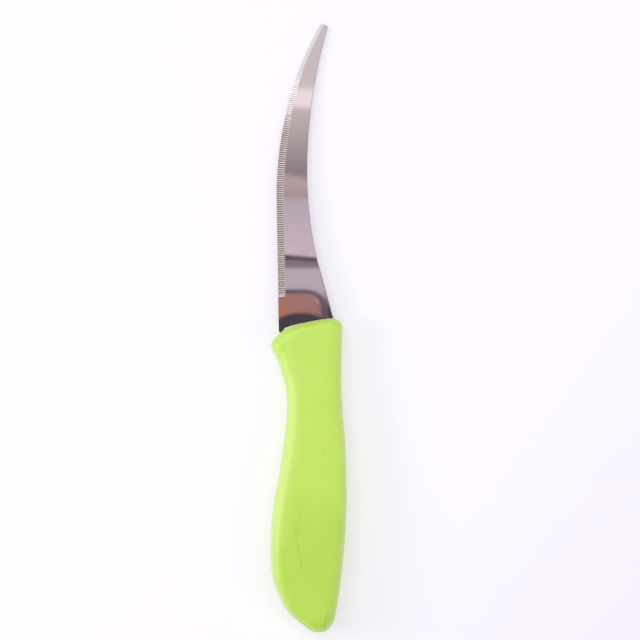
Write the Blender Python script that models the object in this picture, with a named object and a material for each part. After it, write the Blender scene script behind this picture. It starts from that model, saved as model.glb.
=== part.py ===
"""A serrated utility knife: a stamped steel blade in a handle moulded in two shots.

In the knife's own frame the blade's middle plane is z = 0, +Y points to the tip and +X goes from the
cutting edge to the spine. y = 0 lies at the handle's rim. All pieces hang under one empty, which lays
the knife down on its side as it comes to rest: on its tip and on the fullest part of the handle.
Sizes are in metres and angles in radians.
"""

import math

import bmesh
import bpy
import numpy as np
from mathutils import Matrix, Vector

# Blade, stamped from strip
BLADE_THICKNESS = 0.0012
BLADE_LENGTH = 0.11585  # from y = 0 to the corner of the tip, before it is rounded
EDGE_X = -0.0124  # where the cutting edge bellies out furthest
EDGE_BELLY_Y = 0.0503
EDGE_RADIUS = 0.135  # of the curved stretch, from the belly to the tip
EDGE_LEAN = math.radians(1.05)  # of the straight stretch, from the belly to the heel
SPINE_HOLLOW_X = -0.0005  # where the spine's hollow is deepest
SPINE_HOLLOW_Y = 0.0591
SPINE_HEEL_RADIUS = 0.149  # of the hollow, towards the handle
SPINE_SLOPE = math.radians(15.8)  # of the straight stretch that runs into the handle
TIP_WIDTH = 0.00273  # of the blunt tip, from the edge to the spine
TIP_SLANT = 0.0012  # how much lower the spine's end of the blunt tip is
TIP_RADIUS = 0.0007
HEEL_Y = -0.0024
HEEL_RADIUS = 0.0011

# Ground bevel on the upper face, and the serrations in it
EDGE_LAND = 0.0001  # thickness left at the cutting edge
BEVEL_WIDTH = 0.00255
TIP_BEVEL_WIDTH = 0.0013
BEVEL_FULL_FROM_TIP = 0.053  # measured along the cutting edge, as are the next two
SERRATION_START = 0.020
SERRATION_END = 0.1075
RUN_OUT = 0.0011  # length over which the bevel rises out of the steel at its lower end
GROOVE_PITCH = 0.00084
GROOVE_DEPTH = 0.00016
GROOVE_RADIUS = 0.0004

# Tang, hidden in the handle. It is thinned by a step that runs along the handle's rim
TANG_THICKNESS = 0.0010
TANG_STEP_SHOWS = 0.0002  # how far in front of the rim the step is
TANG_LENGTH = 0.080
TANG_X = 0.002  # middle of the tang at its root
TANG_WIDTH = 0.012
TANG_END_WIDTH = 0.009
TANG_END_RADIUS = 0.003
HEEL_NOTCH_RADIUS = 0.0022  # between the heel and the tang
SHOULDER_Y = -0.001  # where the spine's side steps in to the tang
SHOULDER_RADIUS = 0.0007
SHOULDER_NOTCH_RADIUS = 0.0011  # between that shoulder and the tang
WINDOW_RADIUS = 0.0025
WINDOW_COUNT = 3
FIRST_WINDOW = 0.014  # from the heel to the first hole, and then from hole to hole
WINDOW_PITCH = 0.026

# Handle. Each section runs from a point on its belly side to one on its back:
# distance behind the rim, belly x, belly y, back x, back y
HANDLE_SECTIONS = (
    (0.0000, -0.0092, -0.0006, 0.0093, 0.0034),
    (0.0022, -0.0125, -0.0037, 0.0118, 0.0020),
    (0.0036, -0.0139, -0.0053, 0.0125, 0.0008),
    (0.0050, -0.0143, -0.0070, 0.0126, -0.0006),
    (0.0090, -0.0130, -0.0104, 0.0125, -0.0060),
    (0.0110, -0.0121, -0.0121, 0.0124, -0.0085),
    (0.0165, -0.0104, -0.0169, 0.0123, -0.0150),
    (0.0260, -0.0086, -0.0245, 0.0123, -0.0245),
    (0.0325, -0.0083, -0.0310, 0.0127, -0.0310),
    (0.0500, -0.0102, -0.0488, 0.0140, -0.0488),
    (0.0580, -0.0114, -0.0566, 0.0142, -0.0566),
    (0.0665, -0.0131, -0.0650, 0.0143, -0.0650),
    (0.0855, -0.0146, -0.0840, 0.0133, -0.0840),
    (0.0980, -0.0134, -0.0965, 0.0120, -0.0965),
    (0.1035, -0.0112, -0.1021, 0.0113, -0.1020),
    (0.1085, -0.0086, -0.1071, 0.0104, -0.1070),
    (0.1145, -0.0027, -0.1127, 0.0088, -0.1126),
    (0.1170, 0.0008, -0.1152, 0.0069, -0.1149),
    (0.1180, 0.0024, -0.1157, 0.0055, -0.1156),
    (0.1185, 0.0040, -0.1158, 0.0040, -0.1158),
)
RIM_ARCH = 0.0006  # how far the rim bows out between its two ends
ARCH_FADE = 0.020  # distance over which that bow dies away behind the rim
COLLAR_THICKNESS = 0.0106
SWELL_THICKNESS = 0.0170
BUTT_THICKNESS = 0.0148
SWELL_BACK = 0.0680  # distance of the fullest place behind the rim
BUTT_BACK = 0.1060
RIM_ROUNDING = 0.0032  # how far in from the outline the faces are rounded: from the rim,
BELLY_SHOULDER = 0.0048  # from the belly side,
BACK_SHOULDER = 0.0030  # from the back side
BUTT_SHOULDER = 0.0036  # and round the butt
BUTT_STARTS = 0.0900
GRIP_WALL = 0.0022  # soft skin over the core
BUTT_WALL = 0.0075  # soft material behind the core
MOULD_GAP = 0.0003  # clearance between pieces that are moulded onto each other

# Fineness of the faceted forms
EDGE_STEPS = 20
SPINE_STEPS = 10
CORNER_STEPS = 4
ROUND_STEPS = 16
GROOVE_STEPS = 12
SHOULDER_STEPS = 4
NOSE_STEPS = 6
OUTLINE_STEPS = 60
SPAN_STEPS = 3  # rings from one section of the handle to the next
FLAT_COLUMNS = 2  # points across the flat of a section, between its rounded edges
WIDEST_ROUNDING = 0.45  # share of a section that one side's rounding may take
SLOPE_STEP = 0.0002  # distance over which a side's slope is taken
LEAST_STEEPNESS = 0.5
WELD = 1e-6  # points closer than this are one
PAST = 0.0012  # how far a cutter reaches out of the steel
SHADING_ANGLE = math.radians(35)  # edges sharper than this stay sharp

EDGE_CENTRE = Vector((EDGE_X + EDGE_RADIUS, EDGE_BELLY_Y))
TIP_ANGLE = math.asin((BLADE_LENGTH - EDGE_BELLY_Y) / EDGE_RADIUS)
EDGE_ARC_LENGTH = EDGE_RADIUS * (TIP_ANGLE + EDGE_LEAN)
HALF_BLADE = BLADE_THICKNESS / 2


def clear_scene():
    for old in list(bpy.data.objects):
        bpy.data.objects.remove(old, do_unlink=True)


def new_collection(name):
    made = bpy.data.collections.new(name)
    bpy.context.scene.collection.children.link(made)
    return made


def material(name, colour, roughness, metallic):
    made = bpy.data.materials.new(name)
    made.use_nodes = True
    shader = made.node_tree.nodes["Principled BSDF"]
    shader.inputs["Base Color"].default_value = (*colour, 1)
    shader.inputs["Roughness"].default_value = roughness
    shader.inputs["Metallic"].default_value = metallic
    made.diffuse_color = (*colour, 1)
    return made


def mesh_object(name, bm, collection):
    """A new object from bm, which is freed."""
    mesh = bpy.data.meshes.new(name)
    bm.to_mesh(mesh)
    bm.free()
    made = bpy.data.objects.new(name, mesh)
    collection.objects.link(made)
    return made


def plate(name, outlines, thickness, collection):
    """A flat plate about z = 0 from closed outlines, of which the inner ones are holes."""
    curve = bpy.data.curves.new(name, "CURVE")
    curve.dimensions = "2D"
    curve.fill_mode = "BOTH"
    curve.extrude = thickness / 2
    for outline in outlines:
        spline = curve.splines.new("POLY")
        spline.points.add(len(outline) - 1)
        for point, place in zip(spline.points, outline):
            point.co = (place[0], place[1], 0, 1)
        spline.use_cyclic_u = True
    drawn = bpy.data.objects.new(name + "_outline", curve)
    collection.objects.link(drawn)
    bpy.context.view_layer.update()
    evaluated = drawn.evaluated_get(bpy.context.evaluated_depsgraph_get())
    bm = bmesh.new()
    bm.from_mesh(evaluated.to_mesh())
    evaluated.to_mesh_clear()
    bpy.data.objects.remove(drawn)
    bmesh.ops.remove_doubles(bm, verts=bm.verts, dist=WELD)
    return mesh_object(name, bm, collection)


def loft(name, rings, collection):
    """A closed form through rings of equal count, capped unless its end rings are flat or a point."""
    bm = bmesh.new()
    rows = [[bm.verts.new(place) for place in ring] for ring in rings]
    for row, following in zip(rows, rows[1:]):
        for i in range(len(row)):
            j = (i + 1) % len(row)
            bm.faces.new((row[i], row[j], following[j], following[i]))
    for row in (rows[0], rows[-1]):
        bm.faces.new(row)
    bmesh.ops.remove_doubles(bm, verts=bm.verts, dist=WELD)
    bmesh.ops.recalc_face_normals(bm, faces=bm.faces)
    if bm.calc_volume(signed=True) < 0:
        bmesh.ops.reverse_faces(bm, faces=bm.faces)
    return mesh_object(name, bm, collection)


def cut(target, cutter):
    """Takes cutter out of target. The cutter stays in the scene as a guide."""
    modifier = target.modifiers.new("cut_" + cutter.name, "BOOLEAN")
    modifier.operation = "DIFFERENCE"
    modifier.solver = "EXACT"
    modifier.object = cutter


def arc(centre, radius, start, end, steps):
    """Points on a circle from angle start to angle end, both included."""
    return [
        centre + radius * Vector((math.cos(a), math.sin(a)))
        for a in np.linspace(start, end, steps + 1)
    ]


def corner(before, at, after, radius):
    """The corner at a point, rounded between the straight lines to the points before and after it."""
    back, on = (before - at).normalized(), (after - at).normalized()
    half = back.angle(on) / 2
    reach = radius / math.tan(half)
    middle = at + (back + on).normalized() * radius / math.sin(half)
    first = at + back * reach - middle
    turn = first.angle_signed(at + on * reach - middle)
    return [middle + Matrix.Rotation(-turn * i / CORNER_STEPS, 2) @ first for i in range(CORNER_STEPS + 1)]


def grown(outline, distance):
    """A closed outline, given anticlockwise, moved outwards by a distance."""
    moved = []
    for i, at in enumerate(outline):
        back = (at - outline[i - 1]).normalized()
        on = (outline[(i + 1) % len(outline)] - at).normalized()
        mean = (back + on).normalized()
        outward = Vector((mean.y, -mean.x))
        moved.append(at + outward * distance / mean.dot(on))
    return moved


def edge_at(distance):
    """The point on the cutting edge at a distance from the tip, and the way on towards the heel."""
    angle = max(TIP_ANGLE - distance / EDGE_RADIUS, -EDGE_LEAN)
    point = EDGE_CENTRE + EDGE_RADIUS * Vector((-math.cos(angle), math.sin(angle)))
    way = Vector((-math.sin(angle), -math.cos(angle)))
    return point + way * max(distance - EDGE_ARC_LENGTH, 0), way


def edge_distance(y):
    """How far from the tip the straight stretch of the cutting edge reaches a height y."""
    start, way = edge_at(EDGE_ARC_LENGTH)
    return EDGE_ARC_LENGTH + (y - start.y) / way.y


def spine_points():
    """The spine from the shoulder in the handle up to the tip."""
    hollow = Vector((SPINE_HOLLOW_X, SPINE_HOLLOW_Y))
    to_tip = edge_at(0)[0] + Vector((TIP_WIDTH, -TIP_SLANT)) - hollow
    tip_radius = to_tip.length_squared / (2 * to_tip.x)
    rise = math.asin(to_tip.y / tip_radius)
    heel_centre = hollow + Vector((SPINE_HEEL_RADIUS, 0))
    tip_centre = hollow + Vector((tip_radius, 0))
    lower = arc(heel_centre, SPINE_HEEL_RADIUS, math.pi + SPINE_SLOPE, math.pi, SPINE_STEPS)
    upper = arc(tip_centre, tip_radius, math.pi, math.pi - rise, SPINE_STEPS)
    foot = lower[0] + Vector((math.tan(SPINE_SLOPE), -1)) * (lower[0].y - SHOULDER_Y)
    return [foot] + lower + upper[1:]


def blade_outline():
    """The stamped outline with its tang, anticlockwise from the tip."""
    spine = spine_points()
    tip, heel = edge_at(0)[0], edge_at(edge_distance(HEEL_Y))[0]
    arc_starts = 2 * TIP_RADIUS
    edge = [edge_at(d)[0] for d in np.linspace(arc_starts, EDGE_ARC_LENGTH, EDGE_STEPS)]
    tang_end = HEEL_Y - TANG_LENGTH
    left_root = Vector((TANG_X - TANG_WIDTH / 2, HEEL_Y))
    right_root = Vector((TANG_X + TANG_WIDTH / 2, SHOULDER_Y))
    left_end = Vector((TANG_X - TANG_END_WIDTH / 2, tang_end))
    right_end = Vector((TANG_X + TANG_END_WIDTH / 2, tang_end))
    return (
        corner(spine[-1], tip, edge[0], TIP_RADIUS)
        + edge
        + corner(edge[-1], heel, left_root, HEEL_RADIUS)
        + corner(heel, left_root, left_end, HEEL_NOTCH_RADIUS)
        + corner(left_root, left_end, right_end, TANG_END_RADIUS)
        + corner(left_end, right_end, right_root, TANG_END_RADIUS)
        + corner(right_end, right_root, spine[0], SHOULDER_NOTCH_RADIUS)
        + corner(right_root, spine[0], spine[1], SHOULDER_RADIUS)
        + spine[1:-1]
        + corner(spine[-2], spine[-1], tip, TIP_RADIUS)
    )


def window_outlines(radius):
    """The holes in the tang."""
    return [
        arc(Vector((TANG_X, HEEL_Y - FIRST_WINDOW - i * WINDOW_PITCH)), radius, 0, math.tau, ROUND_STEPS)[1:]
        for i in range(WINDOW_COUNT)
    ]


def bevel_width(distance):
    """Width of the ground bevel at a distance from the tip, with its round run-out at the lower end."""
    width = np.interp(
        distance, (0, SERRATION_START, BEVEL_FULL_FROM_TIP), (TIP_BEVEL_WIDTH, TIP_BEVEL_WIDTH, BEVEL_WIDTH)
    )
    into_run_out = max(distance - SERRATION_END + RUN_OUT, 0) / RUN_OUT
    return width * math.sqrt(max(1 - into_run_out**2, 0))


def bevel_slope(distance):
    """How steeply the bevel falls towards the edge."""
    return (BLADE_THICKNESS - EDGE_LAND) / bevel_width(min(distance, SERRATION_END - RUN_OUT))


def bevel_cutter(collection):
    """A wedge along the cutting edge. It reaches past the steel on each side."""
    run_out = SERRATION_END - RUN_OUT * (1 - np.sin(np.linspace(0, math.pi / 2, CORNER_STEPS + 1)))
    distances = [-PAST, *np.linspace(0, SERRATION_END - RUN_OUT, 2 * EDGE_STEPS), *run_out[1:]]
    rings = []
    for distance in distances:
        (at, way), slope = edge_at(distance), bevel_slope(distance)
        inward = Vector((-way.y, way.x))
        inner = bevel_width(distance) + PAST
        top = HALF_BLADE + PAST * slope
        low = top - (inner + PAST) * slope
        near, far = at + inward * inner, at - inward * PAST
        rings.append([(near.x, near.y, top), (far.x, far.y, low), (far.x, far.y, top)])
    return loft("bevel_cutter", rings, collection)


def groove_cutters(collection):
    """One round bar for each serration, lying in the bevel square to the cutting edge."""
    bm = bmesh.new()
    count = int((SERRATION_END - RUN_OUT - SERRATION_START) / GROOVE_PITCH)
    for i in range(count):
        distance = SERRATION_START + (i + 0.5) * GROOVE_PITCH
        (at, way), slope = edge_at(distance), bevel_slope(distance)
        width = bevel_width(distance)
        inward = Vector((-way.y, way.x, 0))
        along = Vector((inward.x, inward.y, slope)).normalized()
        out_of_bevel = Vector((way.x, way.y, 0)).cross(along)
        out_of_bevel *= math.copysign(1, out_of_bevel.z)
        middle = Vector((at.x, at.y, HALF_BLADE)) + inward * width / 2 - Vector((0, 0, slope * width / 2))
        place = Matrix((Vector((way.x, way.y, 0)), out_of_bevel, along)).transposed().to_4x4()
        place.translation = middle + out_of_bevel * (GROOVE_RADIUS - GROOVE_DEPTH)
        bmesh.ops.create_cone(
            bm,
            cap_ends=True,
            segments=GROOVE_STEPS,
            radius1=GROOVE_RADIUS,
            radius2=GROOVE_RADIUS,
            depth=width / inward.dot(along) + 2 * PAST,
            matrix=place,
        )
    bmesh.ops.recalc_face_normals(bm, faces=bm.faces)
    return mesh_object("groove_cutters", bm, collection)


def smooth(knots, values, at):
    """A smooth curve through values at knots, read at one place or at several."""
    knots, values = np.asarray(knots, float), np.asarray(values, float)
    slopes = np.gradient(values, knots)
    at = np.clip(at, knots[0], knots[-1])
    i = np.clip(np.searchsorted(knots, at, side="right") - 1, 0, len(knots) - 2)
    span = knots[i + 1] - knots[i]
    t = (at - knots[i]) / span
    return (
        (1 + 2 * t) * (1 - t) ** 2 * values[i]
        + t * (1 - t) ** 2 * span * slopes[i]
        + t * t * (3 - 2 * t) * values[i + 1]
        - t * t * (1 - t) * span * slopes[i + 1]
    )


def handle_sides(back):
    """The belly and back points of the handle's outline at a distance behind the rim."""
    knots, *columns = zip(*HANDLE_SECTIONS)
    belly_x, belly_y, back_x, back_y = (smooth(knots, column, back) for column in columns)
    return Vector((belly_x, belly_y)), Vector((back_x, back_y))


def handle_length():
    return HANDLE_SECTIONS[-1][0]


def half_thickness(back):
    """Half the handle's thickness between its rounded edges."""
    knots = (0, SWELL_BACK, BUTT_BACK, handle_length())
    halves = (COLLAR_THICKNESS / 2, SWELL_THICKNESS / 2, BUTT_THICKNESS / 2, BUTT_THICKNESS / 2)
    return smooth(knots, halves, back)


def side_steepness(back):
    """How squarely the belly side and the back side cross the section, from 0 to 1."""
    ahead = handle_sides(max(back - SLOPE_STEP, 0))
    behind = handle_sides(min(back + SLOPE_STEP, handle_length()))
    across = (ahead[1] - ahead[0]).normalized()
    ways = [(b - a).normalized() for a, b in zip(ahead, behind)]
    return [max(abs(across.cross(way)), LEAST_STEEPNESS) for way in ways]


def edge_roundings(back):
    """How far in from the belly side and from the back side the faces are rounded."""
    share = np.interp(back, (BUTT_STARTS, handle_length()), (0, 1))
    return [shoulder + (BUTT_SHOULDER - shoulder) * share for shoulder in (BELLY_SHOULDER, BACK_SHOULDER)]


def handle_row(back, inset):
    """Places across the handle's plan at a distance behind the rim, with its sides drawn in by inset."""
    belly, spine_side = handle_sides(back)
    chord = spine_side - belly
    full = max(chord.length, WELD)
    at_belly, at_back = side_steepness(back)
    first, last = inset / at_belly, chord.length - inset / at_back
    belly_reach, back_reach = edge_roundings(back)
    belly_reach = min(belly_reach / at_belly, (last - first) * WIDEST_ROUNDING)
    back_reach = min(back_reach / at_back, (last - first) * WIDEST_ROUNDING)
    bends = [1 - math.cos(math.pi / 2 * i / SHOULDER_STEPS) for i in range(SHOULDER_STEPS + 1)]
    columns = [first + belly_reach * bend for bend in bends]
    flat = np.linspace(columns[-1], last - back_reach, FLAT_COLUMNS + 2)[1:-1]
    columns += [*flat, *(last - back_reach * bend for bend in reversed(bends))]
    arch = RIM_ARCH * max(1 - back / ARCH_FADE, 0) ** 2
    to_tip = Vector((-chord.y, chord.x)) / full
    return [belly + chord * c / full + to_tip * arch * 4 * c * (full - c) / full**2 for c in columns]


def rounded(distance, reach):
    """Share of the full height at a distance from an edge that is rounded over a reach."""
    short = 1 - min(distance / reach, 1)
    return math.sqrt(max(1 - short * short, 0))


def handle_form(name, inset, end, collection):
    """The handle's form down to an end behind the rim, with all its faces drawn in by inset."""
    quarter = 1 - np.cos(np.linspace(0, math.pi / 2, NOSE_STEPS + 1))
    nose = inset + RIM_ROUNDING * quarter
    tail = end - BUTT_SHOULDER * quarter[::-1]
    knots = [section[0] for section in HANDLE_SECTIONS]
    steps = np.linspace(0, len(knots) - 1, SPAN_STEPS * (len(knots) - 1) + 1)
    body = np.interp(steps, range(len(knots)), knots)
    closest = min(np.diff(knots)) / SPAN_STEPS / 2
    body = body[(body > nose[-1] + closest) & (body < tail[0] - closest)]
    backs = [*nose, *body, *tail]
    rows = [handle_row(back, inset) for back in backs]
    outline = np.array([row[0] for row in rows] + [row[-1] for row in reversed(rows)])
    belly_roundings, back_roundings = zip(*(edge_roundings(back) for back in backs))
    roundings = np.array(belly_roundings + back_roundings[::-1]) - inset / 2
    starts, spans = outline[:-1], np.diff(outline, axis=0)
    lengths = np.maximum(np.linalg.norm(spans, axis=1), WELD)
    rings = []
    for back, row in zip(backs, rows):
        full = (half_thickness(back) - inset) * rounded(back - inset, RIM_ROUNDING)
        heights = []
        for place in np.array(row):
            along = np.clip(((place - starts) * spans).sum(axis=1) / lengths**2, 0, 1)
            gaps = np.linalg.norm(starts + spans * along[:, None] - place, axis=1)
            nearest = gaps.argmin()
            reach = roundings[nearest] + (roundings[nearest + 1] - roundings[nearest]) * along[nearest]
            heights.append(full * rounded(gaps[nearest], reach))
        upper = [(place.x, place.y, height) for place, height in zip(row, heights)]
        lower = [(place.x, place.y, -height) for place, height in zip(row, heights)]
        rings.append(upper + lower[-2:0:-1])
    return loft(name, rings, collection)


def handle_outline():
    """The handle's outline in plan, anticlockwise from the rim's belly end."""
    belly, spine_side = zip(*(handle_sides(back) for back in np.linspace(0, handle_length(), OUTLINE_STEPS)))
    return [*belly, *spine_side[-2::-1], *handle_row(0, 0)[-2:0:-1]]


def tang_step_cutter(side, collection):
    """A slab over the tang's upper face, side 1, or its under face, side -1."""
    cutter = plate("tang_step_cutter", [grown(handle_outline(), TANG_STEP_SHOWS)], PAST, collection)
    cutter.data.transform(Matrix.Translation((0, 0, side * (TANG_THICKNESS + PAST) / 2)))
    return cutter


def make_blade(parts, cutters):
    blade = plate("blade", [blade_outline(), *window_outlines(WINDOW_RADIUS)], BLADE_THICKNESS, parts)
    cut(blade, bevel_cutter(cutters))
    cut(blade, groove_cutters(cutters))
    for side in (1, -1):
        cut(blade, tang_step_cutter(side, cutters))
    blade.data.materials.append(material("polished_stainless_steel", (0.55, 0.51, 0.52), 0.12, 1.0))
    return blade


def make_handle(parts, cutters):
    """The core round the tang, and the grip round the core."""
    mould = plate(
        "blade_clearance",
        [grown(blade_outline(), MOULD_GAP), *window_outlines(WINDOW_RADIUS - MOULD_GAP)],
        TANG_THICKNESS + 2 * MOULD_GAP,
        cutters,
    )
    cavity_end = handle_length() - BUTT_WALL
    core = handle_form("handle_core", GRIP_WALL + MOULD_GAP, cavity_end - MOULD_GAP, parts)
    grip = handle_form("handle_grip", 0, handle_length(), parts)
    cavity = handle_form("core_clearance", GRIP_WALL, cavity_end, cutters)
    cut(core, mould)
    cut(grip, cavity)
    cut(grip, mould)
    core.data.materials.append(material("hard_white_plastic", (0.75, 0.75, 0.72), 0.5, 0.0))
    grip.data.materials.append(material("soft_lime_rubber", (0.53, 0.79, 0.13), 0.5, 0.0))
    return core, grip


def lay_down(blade, grip, pieces):
    """Turns and lowers the knife until its tip and the handle's fullest place touch z = 0."""
    tip = max((v.co for v in blade.data.vertices), key=lambda co: (co.y, -co.z))
    slope = max((-HALF_BLADE - v.co.z) / (tip.y - v.co.y) for v in grip.data.vertices)
    turned = Matrix.Rotation(-math.atan(slope), 4, "X")
    places = [turned @ v.co for piece in (blade, grip) for v in piece.data.vertices]
    low = Vector([min(place[k] for place in places) for k in range(3)])
    high = Vector([max(place[k] for place in places) for k in range(3)])
    rest = bpy.data.objects.new("resting_knife", None)
    blade.users_collection[0].objects.link(rest)
    rest.rotation_euler.x = -math.atan(slope)
    rest.location = (-(low.x + high.x) / 2, -(low.y + high.y) / 2, -low.z)
    for piece in pieces:
        piece.parent = rest


def main():
    clear_scene()
    parts, cutters = new_collection("serrated_utility_knife"), new_collection("cutters")
    blade = make_blade(parts, cutters)
    core, grip = make_handle(parts, cutters)
    lay_down(blade, grip, [blade, core, grip, *cutters.objects])
    for cutter in cutters.objects:
        cutter.hide_render = True
        cutter.display_type = "WIRE"
    for piece in (core, grip):
        piece.data.shade_smooth()
        piece.data.set_sharp_from_angle(angle=SHADING_ANGLE)


main()
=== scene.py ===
"""Looks for the serrated utility knife: finer blade and grip, finishes, light, floor and camera.

The knife's own frame is part.py's: the blade's middle plane is z = 0, +Y points to the tip, +X goes from
the cutting edge to the spine, and y = 0 lies at the handle's rim. to_rest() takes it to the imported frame.
Sizes are in metres and angles in radians.
"""

import math

import bmesh
import bpy
import numpy as np
from mathutils import Matrix, Vector


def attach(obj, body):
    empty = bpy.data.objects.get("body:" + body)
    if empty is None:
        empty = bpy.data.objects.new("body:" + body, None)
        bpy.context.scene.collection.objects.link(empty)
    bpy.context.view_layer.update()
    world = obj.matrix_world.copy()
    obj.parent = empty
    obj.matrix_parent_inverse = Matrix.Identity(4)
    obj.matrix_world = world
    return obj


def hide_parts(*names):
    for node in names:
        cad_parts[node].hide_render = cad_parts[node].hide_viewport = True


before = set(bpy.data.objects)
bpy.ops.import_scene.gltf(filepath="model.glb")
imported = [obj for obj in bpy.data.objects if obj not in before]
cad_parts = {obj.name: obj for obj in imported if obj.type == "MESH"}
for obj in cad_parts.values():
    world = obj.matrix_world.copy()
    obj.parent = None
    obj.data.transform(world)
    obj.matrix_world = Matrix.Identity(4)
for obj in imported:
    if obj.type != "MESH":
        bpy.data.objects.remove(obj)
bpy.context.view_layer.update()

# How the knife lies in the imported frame: turned about its x, then moved
REST_TILT = math.radians(-2.6244385)
REST_SHIFT = Vector((0.00015, 0.0000669, 0.0058949))

# Blade
BLADE_THICKNESS = 0.0012
BLADE_LENGTH = 0.11585  # from y = 0 to the corner of the tip, before it is rounded
EDGE_X = -0.0124  # where the cutting edge bellies out furthest
EDGE_BELLY_Y = 0.0503
EDGE_RADIUS = 0.135  # of the curved stretch, from the belly to the tip
EDGE_LEAN = math.radians(1.05)  # of the straight stretch, from the belly to the heel
SPINE_HOLLOW = Vector((-0.0005, 0.0591))  # where the spine's hollow is deepest
SPINE_HEEL_RADIUS = 0.149  # of the hollow, towards the handle
SPINE_SLOPE = math.radians(15.8)  # of the straight stretch that runs into the handle
TIP_WIDTH = 0.00273  # of the blunt tip, from the edge to the spine
TIP_SLANT = 0.0012  # how much lower the spine's end of the blunt tip is
TIP_RADIUS = 0.0007
HEEL_Y = -0.0024
HEEL_RADIUS = 0.0011
SPINE_ARRIS = 0.00035  # rounding of the spine's edges
FADED_ARRIS = 0.00012  # what is left of it at its two ends
SPINE_ARRIS_STARTS = 0.0036  # its distance from y = 0 and from the tip
SPINE_FADE = 0.008  # length over which it fades at each end

# Ground bevel and serrations
EDGE_LAND = 0.0001  # thickness left at the cutting edge
BEVEL_WIDTH = 0.00255
TIP_BEVEL_WIDTH = 0.0013
BEVEL_FULL_FROM_TIP = 0.053  # measured along the cutting edge, as are the next two
SERRATION_START = 0.020
SERRATION_END = 0.1075
RUN_OUT = 0.0011  # length over which the bevel rises out of the steel at its lower end
GROOVE_PITCH = 0.00084
GROOVE_DEPTH = 0.00016
GROOVE_RADIUS = 0.0004

# Tang, hidden in the handle. It is thinned by a step that runs along the handle's rim
TANG_THICKNESS = 0.0010
TANG_STEP_SHOWS = 0.0002  # how far in front of the rim the step is
TANG_LENGTH = 0.080
TANG_X = 0.002  # middle of the tang at its root
TANG_WIDTH = 0.012
TANG_END_WIDTH = 0.009
TANG_END_RADIUS = 0.003
HEEL_NOTCH_RADIUS = 0.0022  # between the heel and the tang
SHOULDER_Y = -0.001  # where the spine's side steps in to the tang
SHOULDER_RADIUS = 0.0007
SHOULDER_NOTCH_RADIUS = 0.0011  # between that shoulder and the tang
WINDOW_RADIUS = 0.0025
WINDOW_COUNT = 3
FIRST_WINDOW = 0.014  # from the heel to the first hole, and then from hole to hole
WINDOW_PITCH = 0.026

# Handle sections: distance behind the rim, belly x, belly y, back x, back y
HANDLE_SECTIONS = (
    (0.0000, -0.0092, -0.0006, 0.0093, 0.0034),
    (0.0022, -0.0125, -0.0037, 0.0118, 0.0020),
    (0.0036, -0.0139, -0.0053, 0.0125, 0.0008),
    (0.0050, -0.0143, -0.0070, 0.0126, -0.0006),
    (0.0090, -0.0130, -0.0104, 0.0125, -0.0060),
    (0.0110, -0.0121, -0.0121, 0.0124, -0.0085),
    (0.0165, -0.0104, -0.0169, 0.0123, -0.0150),
    (0.0260, -0.0086, -0.0245, 0.0123, -0.0245),
    (0.0325, -0.0083, -0.0310, 0.0127, -0.0310),
    (0.0500, -0.0102, -0.0488, 0.0140, -0.0488),
    (0.0580, -0.0114, -0.0566, 0.0142, -0.0566),
    (0.0665, -0.0131, -0.0650, 0.0143, -0.0650),
    (0.0855, -0.0146, -0.0840, 0.0133, -0.0840),
    (0.0980, -0.0134, -0.0965, 0.0120, -0.0965),
    (0.1035, -0.0112, -0.1021, 0.0113, -0.1020),
    (0.1085, -0.0086, -0.1071, 0.0104, -0.1070),
    (0.1145, -0.0027, -0.1127, 0.0088, -0.1126),
    (0.1170, 0.0008, -0.1152, 0.0069, -0.1149),
    (0.1180, 0.0024, -0.1157, 0.0055, -0.1156),
    (0.1185, 0.0040, -0.1158, 0.0040, -0.1158),
)
HANDLE_LENGTH = HANDLE_SECTIONS[-1][0]
RIM_ARCH = 0.0006  # how far the rim bows out between its two ends
ARCH_FADE = 0.020  # distance over which that bow dies away behind the rim
COLLAR_THICKNESS = 0.0106
SWELL_THICKNESS = 0.0170
BUTT_THICKNESS = 0.0148
SWELL_BACK = 0.0680  # distance of the fullest place behind the rim
BUTT_BACK = 0.1060
RIM_ROUNDING = 0.0032  # how far in from the outline the faces are rounded: from the rim,
BELLY_SHOULDER = 0.0048  # from the belly side,
BACK_SHOULDER = 0.0030  # from the back side
BUTT_SHOULDER = 0.0036  # and round the butt
BUTT_STARTS = 0.0900
GRIP_WALL = 0.0022  # soft skin over the core
BUTT_WALL = 0.0075  # soft material behind the core
MOULD_GAP = 0.00005  # between the grip and the steel that it closes on
PARTING_RIDGE = 0.00003  # height of the seam of the mould's two halves
SEAM_BEND = 0.00012  # where the seam ends, as a share of the side's rounding
# How domed the faces are: distance behind the rim, share of the height that is lost at the sides
CROWNS = ((0, 0.10), (0.03, 0.14), (0.068, 0.07), (0.10, 0.05))

# Thin lip of rubber against the steel, at the rim's belly end
LIP_RADIUS = 0.00030
LIP_HEIGHT = 0.0008  # of its middle above the blade's middle plane
LIP_STARTS = -0.02  # both ends as shares of the rim, from the belly side
LIP_ENDS = 0.44
LIP_BACK = 0.00012  # how far its middle lies behind the rim
LIP_BLUNT = 0.05  # keeps its ends from shrinking to a point

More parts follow.
